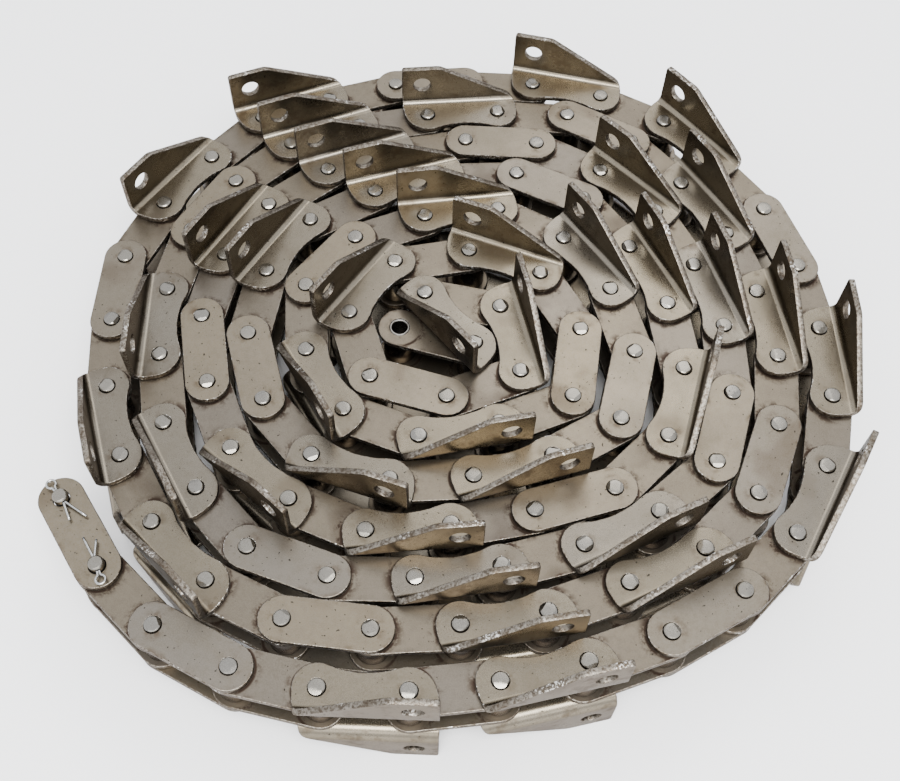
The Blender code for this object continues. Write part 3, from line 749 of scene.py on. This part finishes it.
class Nodes:
    """Short-hand for building a node tree."""

    def __init__(self, material):
        material.use_nodes = True
        self.tree = material.node_tree
        self.shader = self.tree.nodes["Principled BSDF"]

    def add(self, kind, **settings):
        node = self.tree.nodes.new(kind)
        for key, value in settings.items():
            setattr(node, key, value)
        return node

    def link(self, source, target):
        self.tree.links.new(source, target)

    def put(self, value, socket):
        """Feeds a number, a colour or another node's output into a socket."""
        if isinstance(value, bpy.types.NodeSocket):
            self.link(value, socket)
        else:
            socket.default_value = value

    def math(self, operation, a, b=0.0, clamp=False):
        node = self.add("ShaderNodeMath", operation=operation, use_clamp=clamp)
        self.put(a, node.inputs[0])
        self.put(b, node.inputs[1])
        return node.outputs[0]

    def mix(self, factor, a, b):
        node = self.add("ShaderNodeMix", data_type="RGBA")
        self.put(factor, node.inputs[0])
        self.put(a, node.inputs[6])
        self.put(b, node.inputs[7])
        return node.outputs[2]

    def ramp(self, value, low, high):
        """Smooth step of a value from 0 at low to 1 at high."""
        node = self.add("ShaderNodeMapRange", interpolation_type="SMOOTHSTEP")
        self.put(value, node.inputs[0])
        node.inputs[1].default_value = low
        node.inputs[2].default_value = high
        return node.outputs[0]

    def noise(self, vector, scale, detail, rough):
        node = self.add("ShaderNodeTexNoise")
        self.link(vector, node.inputs["Vector"])
        node.inputs["Scale"].default_value = scale
        node.inputs["Detail"].default_value = detail
        node.inputs["Roughness"].default_value = rough
        return node.outputs["Fac"]

    def layer(self, base, colour, value, low, high, amount):
        """A colour over the base where a pattern passes from low to high."""
        return self.mix(self.math("MULTIPLY", self.ramp(value, low, high), amount), base, colour)

    def where(self, place, place_band, pattern, pattern_band):
        """The places of a band that a pattern fills."""
        inside = self.ramp(place, *place_band)
        return self.math("MULTIPLY", inside, self.ramp(pattern, *pattern_band))

    def length(self, a, b):
        """Length of the vector (a, b)."""
        squares = self.math("MULTIPLY", a, a), self.math("MULTIPLY", b, b)
        return self.math("SQRT", self.math("ADD", *squares))

    def steel(self):
        """Bare metal with a darker grazing reflection."""
        self.shader.inputs["Metallic"].default_value = 1.0
        self.shader.inputs["Specular Tint"].default_value = EDGE_TINT

    def bump(self, height, strength, distance):
        """Small relief from a height."""
        node = self.add("ShaderNodeBump")
        node.inputs["Strength"].default_value = strength
        node.inputs["Distance"].default_value = distance
        self.link(height, node.inputs["Height"])
        self.link(node.outputs[0], self.shader.inputs["Normal"])


def varied_place(n):
    """Object coordinates, the same moved differently on each piece, and the piece's chance."""
    place = n.add("ShaderNodeTexCoord").outputs["Object"]
    chance = n.add("ShaderNodeObjectInfo").outputs["Random"]
    move = n.add("ShaderNodeCombineXYZ")
    for socket, factor in zip(move.inputs, PATTERN_SHIFT):
        n.link(n.math("MULTIPLY", chance, factor), socket)
    shifted = n.add("ShaderNodeVectorMath", operation="ADD")
    n.link(place, shifted.inputs[0])
    n.link(move.outputs[0], shifted.inputs[1])
    return place, shifted.outputs[0], chance


def plate_distances(n, place):
    """Distance from the line through the two pins, and from the nearer pin, in metres."""
    split = n.add("ShaderNodeSeparateXYZ")
    n.link(place, split.inputs[0])
    x, y = split.outputs[0], split.outputs[1]
    pitch = PITCH * MM
    held = n.math("MINIMUM", n.math("MAXIMUM", x, 0.0), pitch)
    from_line = n.length(n.math("SUBTRACT", x, held), y)
    from_middle = n.math("ABSOLUTE", n.math("SUBTRACT", x, pitch / 2))
    from_pin = n.length(n.math("SUBTRACT", from_middle, pitch / 2), y)
    return from_line, from_pin


def oil_stain_and_shadow(n, place, moved, amount, beyond_plates):
    """How much of a plate is painted brown: oily stains along its rim, round its pins and in
    patches, and, with beyond_plates, a crust and a thin dark line just outside the outer plates,
    the line partly oily dirt and partly painted contact shadow.
    """
    from_line, from_pin = plate_distances(n, place)
    blot = n.noise(moved, *BLOT)
    rim = n.math("MULTIPLY", n.where(from_line, RIM_BAND, blot, RIM_BLOTS), RIM_AMOUNT)
    ring = n.math("MULTIPLY", n.where(from_pin, RING_BAND, blot, RING_BLOTS), RING_AMOUNT)
    patches = n.ramp(n.noise(moved, *OIL_PATCH), *OIL_PATCHES)
    patch = n.math("MULTIPLY", patches, PATCH_AMOUNT)
    oil_and_shadow = n.math("ADD", rim, ring, clamp=True)
    if beyond_plates:
        crust = n.where(from_pin, CRUST_BAND, n.noise(moved, *CRUST), CRUST_GRAINS)
        # painted contact shadow of the outer plate's edge, mixed with oily dirt, as a thin line
        # just outside it
        line = n.where(from_pin, SHADOW_AND_OIL_LINE_BAND, blot, SHADOW_AND_OIL_LINE_BLOTS)
        crust_and_shadow = n.math("MAXIMUM", crust, line)
        crust_and_shadow = n.math("MULTIPLY", crust_and_shadow, n.ramp(from_pin, *UNCOVERED_BAND))
        oil_and_shadow = n.math("ADD", oil_and_shadow, crust_and_shadow, clamp=True)
    return n.math("MULTIPLY", n.math("ADD", oil_and_shadow, patch, clamp=True), amount)


def steel_surface(name, warm, grey, rough, speckle, grain=1.0, stain_and_shadow=None, stain_and_shadow_amount=0.0,
                  beyond_plates=False):
    """Bare steel: mottled sheen, drawn grain and dark pits, and on a plate brown oily stains in a
    colour given for them.

    The stains lie along the plate's rim and round its pins, and beyond_plates adds the crust that
    an inner plate has just outside the outer plates, with a thin dark line there that is partly
    oily dirt and partly painted contact shadow of the outer plate.
    """
    material = bpy.data.materials.new(name)
    n = Nodes(material)
    place, moved, chance = varied_place(n)
    cloud = n.noise(moved, *CLOUD)
    mottle = n.noise(moved, *MOTTLE)
    fine = n.noise(moved, *FINE)
    stretch = n.add("ShaderNodeMapping")
    stretch.inputs["Scale"].default_value = DRAWN_STRETCH
    n.link(moved, stretch.inputs["Vector"])
    drawn = n.noise(stretch.outputs[0], *DRAWN)
    dark = tuple(c * DARKER for c in warm[:3]) + (1,)
    light = tuple(min(c * LIGHTER, 1) for c in grey[:3]) + (1,)
    base = n.mix(n.ramp(chance, *CHANCE_BAND), warm, grey)
    base = n.layer(base, dark, cloud, *CLOUD_SHADE)
    base = n.layer(base, dark, mottle, *MOTTLE_SHADE)
    base = n.layer(base, light, fine, *FINE_SHEEN)
    base = n.layer(base, light, drawn, *DRAWN_SHEEN)
    # the stain colour paints the oily stains, and on inner plates also the painted contact shadow
    # just outside the outer plates
    oil_and_shadow = oil_stain_and_shadow(n, place, moved, stain_and_shadow_amount, beyond_plates) if stain_and_shadow else None
    if oil_and_shadow:
        base = n.mix(oil_and_shadow, base, stain_and_shadow)
    pit = n.ramp(n.noise(moved, *PITS), *(edge - PIT_SHIFT * speckle for edge in PIT_BAND))
    base = n.mix(n.math("MULTIPLY", pit, PIT_AMOUNT), base, PIT_COLOUR)
    n.link(base, n.shader.inputs["Base Color"])
    n.steel()
    uneven = n.math("MULTIPLY", n.math("SUBTRACT", cloud, MIDDLE), CLOUD_ROUGH)
    rough_value = n.math("ADD", uneven, rough)
    uneven = n.math("MULTIPLY", n.math("SUBTRACT", fine, MIDDLE), FINE_ROUGH)
    rough_value = n.math("ADD", rough_value, uneven)
    if oil_and_shadow:
        rough_value = n.math("ADD", rough_value, n.math("MULTIPLY", oil_and_shadow, OIL_ROUGH))
    n.link(rough_value, n.shader.inputs["Roughness"])
    relief = n.math("MULTIPLY", mottle, MOTTLE_RELIEF)
    height = n.math("ADD", n.math("MULTIPLY", fine, FINE_RELIEF), relief)
    height = n.math("SUBTRACT", height, n.math("MULTIPLY", pit, PIT_DEPTH))
    n.bump(height, STEEL_BUMP * grain, STEEL_BUMP_METRES)
    return material


def sheared_edge(name, bright, dark):
    """Cut edge of a plate: coarse grain, rusty patches, and bare metal where it rubs."""
    material = bpy.data.materials.new(name)
    n = Nodes(material)
    moved = varied_place(n)[1]
    coarse = n.noise(moved, *SHEARED)
    patch = n.noise(moved, *RUST_PATCH)
    worn = n.where(n.noise(moved, *WORN_PATCH), RUBBED_BAND, coarse, RUBBED_GRAINS)
    tone = n.mix(n.ramp(coarse, *SHEARED_TONES), dark, bright)
    tone = n.layer(tone, RUST_COLOUR, patch, *RUST_SHADE)
    tone = n.mix(worn, tone, WORN_COLOUR)
    n.link(tone, n.shader.inputs["Base Color"])
    n.steel()
    rough = n.math("ADD", n.math("MULTIPLY", coarse, SHEARED_ROUGH), SHEARED_LEAST_ROUGH)
    n.link(rough, n.shader.inputs["Roughness"])
    n.bump(coarse, SHEARED_BUMP, SHEARED_BUMP_METRES)
    return material


def even_steel(name, colour, rough):
    """Steel without a pattern, for pieces that lie hidden in the chain."""
    material = bpy.data.materials.new(name)
    n = Nodes(material)
    n.shader.inputs["Base Color"].default_value = colour
    n.steel()
    n.shader.inputs["Roughness"].default_value = rough
    return material


MATERIALS = {
    "plain_plate": steel_surface(
        "plain_plate_steel", (0.180, 0.149, 0.103, 1), (0.152, 0.136, 0.113, 1), rough=0.33,
        speckle=1.0, stain_and_shadow=(0.050, 0.030, 0.016, 1), stain_and_shadow_amount=0.85),
    "attachment_plate": steel_surface(
        "attachment_plate_steel", (0.172, 0.146, 0.104, 1), (0.150, 0.134, 0.109, 1), rough=0.285,
        speckle=0.9, stain_and_shadow=(0.050, 0.032, 0.018, 1), stain_and_shadow_amount=0.65),
    # its stain colour also paints the contact shadow just outside the outer plates
    "inner_plate": steel_surface(
        "inner_plate_steel", (0.148, 0.124, 0.090, 1), (0.130, 0.114, 0.094, 1), rough=0.34,
        speckle=0.3, stain_and_shadow=(0.034, 0.023, 0.017, 1), stain_and_shadow_amount=1.0, beyond_plates=True),
    "pin": steel_surface(
        "pin_steel", (0.208, 0.193, 0.164, 1), (0.184, 0.175, 0.157, 1), rough=0.27,
        speckle=0.2, grain=1.5),
    "bush": even_steel("bush_steel", (0.20, 0.19, 0.17, 1), 0.26),
    "roller": steel_surface(
        "roller_steel", (0.125, 0.108, 0.085, 1), (0.115, 0.104, 0.09, 1), rough=0.24,
        speckle=0.3),
    "hidden_roller": even_steel("hidden_roller_steel", (0.115, 0.102, 0.084, 1), 0.24),
    "cotter": steel_surface(
        "cotter_steel", (0.40, 0.40, 0.38, 1), (0.38, 0.38, 0.37, 1), rough=0.20, speckle=0.1),
}
EDGES = sheared_edge("sheared_edge_steel", (0.21, 0.19, 0.16, 1), (0.066, 0.053, 0.040, 1))


# ==== the chain's pieces =========================================================================
def with_materials(mesh, slot, edges=False):
    """The mesh with its surface material, and the cut-edge material on slot 1."""
    mesh.materials.append(MATERIALS[slot])
    if edges:
        mesh.materials.append(EDGES)
    return mesh


def make_meshes():
    """Every shared mesh, by name."""
    meshes = {
        "plain_top": plain_plate(
            "plain_plate_top", OUTER_PLATE_LOW, PIN_RADIUS + PIN_HOLE_ROOM),
        "attachment_top": attachment_plate("attachment_plate_top"),
        "inner_top": plain_plate(
            "inner_plate_top", INNER_PLATE_LOW, BUSH_RADIUS + BUSH_HOLE_ROOM),
    }
    for kind in ("plain", "attachment", "inner"):
        slot = kind + "_plate"
        with_materials(meshes[kind + "_top"], slot, True)
        meshes[kind + "_bottom"] = turned_over(meshes[kind + "_top"], slot + "_bottom")
    meshes["bush"] = with_materials(bush_mesh(), "bush")
    meshes["roller"] = with_materials(roller_mesh(), "roller")
    meshes["hidden_roller"] = with_materials(roller_mesh(), "hidden_roller")
    for k, flats in enumerate(STAKED_FLATS):
        meshes[f"pin_{k}"] = with_materials(staked_pin(f"pin_{k}", flats), "pin")
    for side, angle, legs in zip("ab", COTTER_ANGLES, COTTER_LEGS):
        pin = connecting_pin("connecting_pin_" + side, angle)
        meshes["connecting_pin_" + side] = with_materials(pin, "pin")
        wire = cotter_mesh("cotter_" + side, angle, legs)
        meshes["cotter_" + side] = with_materials(wire, "cotter")
    return meshes


pins = coil_pins()
meshes = make_meshes()


def link_place(near, far, at):
    """Frame of a link: origin at one of its pins, +X from the near pin to the far pin."""
    along = pins[far] - pins[near]
    x, y = pins[at]
    turn = Matrix.Rotation(math.atan2(along[1], along[0]), 4, "Z")
    return Matrix.Translation((x * MM, y * MM, MID_PLANE * MM)) @ turn


placed = []


def piece(name, mesh, place, body, slot, node=None):
    """One visible piece, kept for build_chain with its CAD body, slot and the node it replaces."""
    obj = bpy.data.objects.new(name, meshes[mesh])
    obj.matrix_world = place
    bpy.context.scene.collection.objects.link(obj)
    placed.append((obj, body, slot, node))


def outer_body(link):
    """CAD body that an outer link belongs to."""
    if link == 1:
        return "connecting_link"
    return f"outer_link_{link}" if link <= LOOSE_OUTER_LINKS else "coil"


def inner_body(link):
    """CAD body that an inner link belongs to."""
    if link == OUTER_LINKS:
        return "end_link"
    return f"inner_link_{link}" if link < LOOSE_OUTER_LINKS else "coil"


def run_starts():
    """Inner link that starts each joined run of the CAD model, and the run's node."""
    link = LOOSE_OUTER_LINKS
    starts = {}
    for number, pairs in enumerate(RUN_PAIRS, start=1):
        starts[link] = f"coil_run_{number}"
        link += pairs
    return starts


def add_outer_link(link):
    """Two outer plates and two pins, and the cotters of the connecting link."""
    near, far = 2 * link - 1, 2 * link - 2
    kind = "attachment" if is_attachment(link) else "plain"
    body = outer_body(link)
    place = link_place(near, far, near)
    label = "connecting_link" if link == 1 else f"{kind}_link_{link}"
    separate = link <= SEPARATE_LINKS
    upper, lower = ("cover_plate", "fixed_plate") if link == 1 else ("top_plate", "bottom_plate")
    top_node = f"{label}_{upper}" if separate else (label if link <= LOOSE_OUTER_LINKS else None)
    piece(f"{label}_{upper}_steel", kind + "_top", place, body, kind + "_plate", top_node)
    low_node = f"{label}_{lower}" if separate else None
    piece(f"{label}_{lower}_steel", kind + "_bottom", place, body, kind + "_plate", low_node)
    for side, at in (("a", far), ("b", near)):
        if link == 1:
            seat = link_place(near, far, at)
            node = f"{label}_pin_{side}"
            piece(node + "_steel", "connecting_pin_" + side, seat, body, "pin", node)
            node = f"{label}_cotter_{side}"
            piece(node + "_wire", "cotter_" + side, seat, body, "cotter", node)
        else:
            turn = Matrix.Rotation(shade.uniform(0, 2 * math.pi), 4, "Z")
            seat = link_place(near, far, at) @ turn
            node = f"{label}_pin_{side}" if separate else None
            head = f"pin_{shade.randrange(len(STAKED_FLATS))}"
            piece(f"{label}_pin_{side}_steel", head, seat, body, "pin", node)


def add_inner_link(link, starts):
    """Two inner plates, two bushes and two rollers."""
    near, far = 2 * link, 2 * link - 1
    body = inner_body(link)
    place = link_place(near, far, near)
    separate = link <= SEPARATE_LINKS or link == OUTER_LINKS
    label = "end_link" if link == OUTER_LINKS else f"inner_link_{link}"
    top_node = f"{label}_top_plate" if separate else starts.get(link)
    if not separate and link < LOOSE_OUTER_LINKS:
        top_node = label
    piece(f"{label}_top_plate_steel", "inner_top", place, body, "inner_plate", top_node)
    low_node = f"{label}_bottom_plate" if separate else None
    piece(f"{label}_bottom_plate_steel", "inner_bottom", place, body, "inner_plate", low_node)
    for side, at in (("a", far), ("b", near)):
        seat = link_place(near, far, at)
        bush_node = f"{label}_bush_{side}" if separate else None
        piece(f"{label}_bush_{side}_steel", "bush", seat, body, "bush", bush_node)
        roller_node = f"{label}_roller_{side}" if separate else None
        roller_body = roller_node if separate else body
        roller = "roller" if separate or link <= OUTER_TURN_LINKS else "hidden_roller"
        piece(f"{label}_roller_{side}_steel", roller, seat, roller_body, "roller", roller_node)


def build_chain():
    """Adds every link, then rides each piece on its body and swaps out the CAD node it shows."""
    starts = run_starts()
    for link in range(1, OUTER_LINKS + 1):
        add_outer_link(link)
        add_inner_link(link, starts)
    for obj, body, slot, node in placed:
        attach(obj, body)
        if node:
            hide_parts(node)


build_chain()


# ==== floor, light and camera ====================================================================
FLOOR_HALF = 6.0
FLOOR_DROP = 0.0002
FLOOR_COLOUR = (0.94, 0.94, 0.94, 1)
FLOOR_ROUGH = 0.9
SKY_COLOUR = (0.93, 0.95, 1.0, 1)
SKY_STRENGTH = 2.25
SOFT_BOXES = (  # name, size, place, target, watts, colour
    ("top_box", (1.1, 0.7), (0.1, -0.75, 1.8), (0, 0, 0), 62, (1.0, 0.99, 0.97)),
    ("back_box", (0.7, 0.8), (0.35, 1.15, 1.8), (0, 0, 0.03), 8, (1.0, 0.97, 0.92)),
    ("front_box", (2.2, 0.5), (0.0, -1.5, 0.95), (0, 0, 0.03), 12, (1, 1, 1)),
)

# the camera, solved from the photo
CAMERA_PLACE = (-0.0141, -0.3463, 0.5919)
CAMERA_TILT = math.radians(90 - 59.38)
CAMERA_ROLL = 0.00905
SENSOR_WIDTH = 36.0
FOCAL_TO_WIDTH = 1.3417
LENS_SHIFT = (0.0203, -0.0007)
NEAREST = 0.01


def soft_light(name, size, place, target, power, color):
    """Rectangular soft light aimed at a point."""
    data = bpy.data.lights.new(name, "AREA")
    data.shape = "RECTANGLE"
    data.size, data.size_y = size
    data.energy = power
    data.color = color
    light = bpy.data.objects.new(name, data)
    light.location = place
    light.rotation_euler = (Vector(target) - Vector(place)).to_track_quat("-Z", "Y").to_euler()
    bpy.context.scene.collection.objects.link(light)


def add_floor():
    """Plain pale floor."""
    shape = bmesh.new()
    bmesh.ops.create_grid(shape, x_segments=1, y_segments=1, size=FLOOR_HALF)
    mesh = bpy.data.meshes.new("floor")
    shape.to_mesh(mesh)
    shape.free()
    floor = bpy.data.objects.new("floor", mesh)
    floor.location = (0, 0, -FLOOR_DROP)
    bpy.context.scene.collection.objects.link(floor)
    material = bpy.data.materials.new("floor_white")
    material.use_nodes = True
    shader = material.node_tree.nodes["Principled BSDF"]
    shader.inputs["Base Color"].default_value = FLOOR_COLOUR
    shader.inputs["Roughness"].default_value = FLOOR_ROUGH
    mesh.materials.append(material)


def add_light():
    """A large soft box above the front, small ones behind and in front, and a pale surround."""
    world = bpy.data.worlds.new("studio")
    world.use_nodes = True
    background = world.node_tree.nodes["Background"]
    background.inputs["Color"].default_value = SKY_COLOUR
    background.inputs["Strength"].default_value = SKY_STRENGTH
    bpy.context.scene.world = world
    for box in SOFT_BOXES:
        soft_light(*box)


def add_camera():
    """Camera above the front of the coil, looking down at 59 degrees."""
    data = bpy.data.cameras.new("camera")
    data.sensor_width = SENSOR_WIDTH
    data.lens = SENSOR_WIDTH * FOCAL_TO_WIDTH
    data.shift_x, data.shift_y = LENS_SHIFT
    data.clip_start = NEAREST
    camera = bpy.data.objects.new("camera", data)
    tilt = Matrix.Rotation(CAMERA_TILT, 4, "X")
    roll = Matrix.Rotation(CAMERA_ROLL, 4, "Z")
    camera.matrix_world = Matrix.Translation(CAMERA_PLACE) @ tilt @ roll
    bpy.context.scene.collection.objects.link(camera)
    bpy.context.scene.camera = camera


add_floor()
add_light()
add_camera()
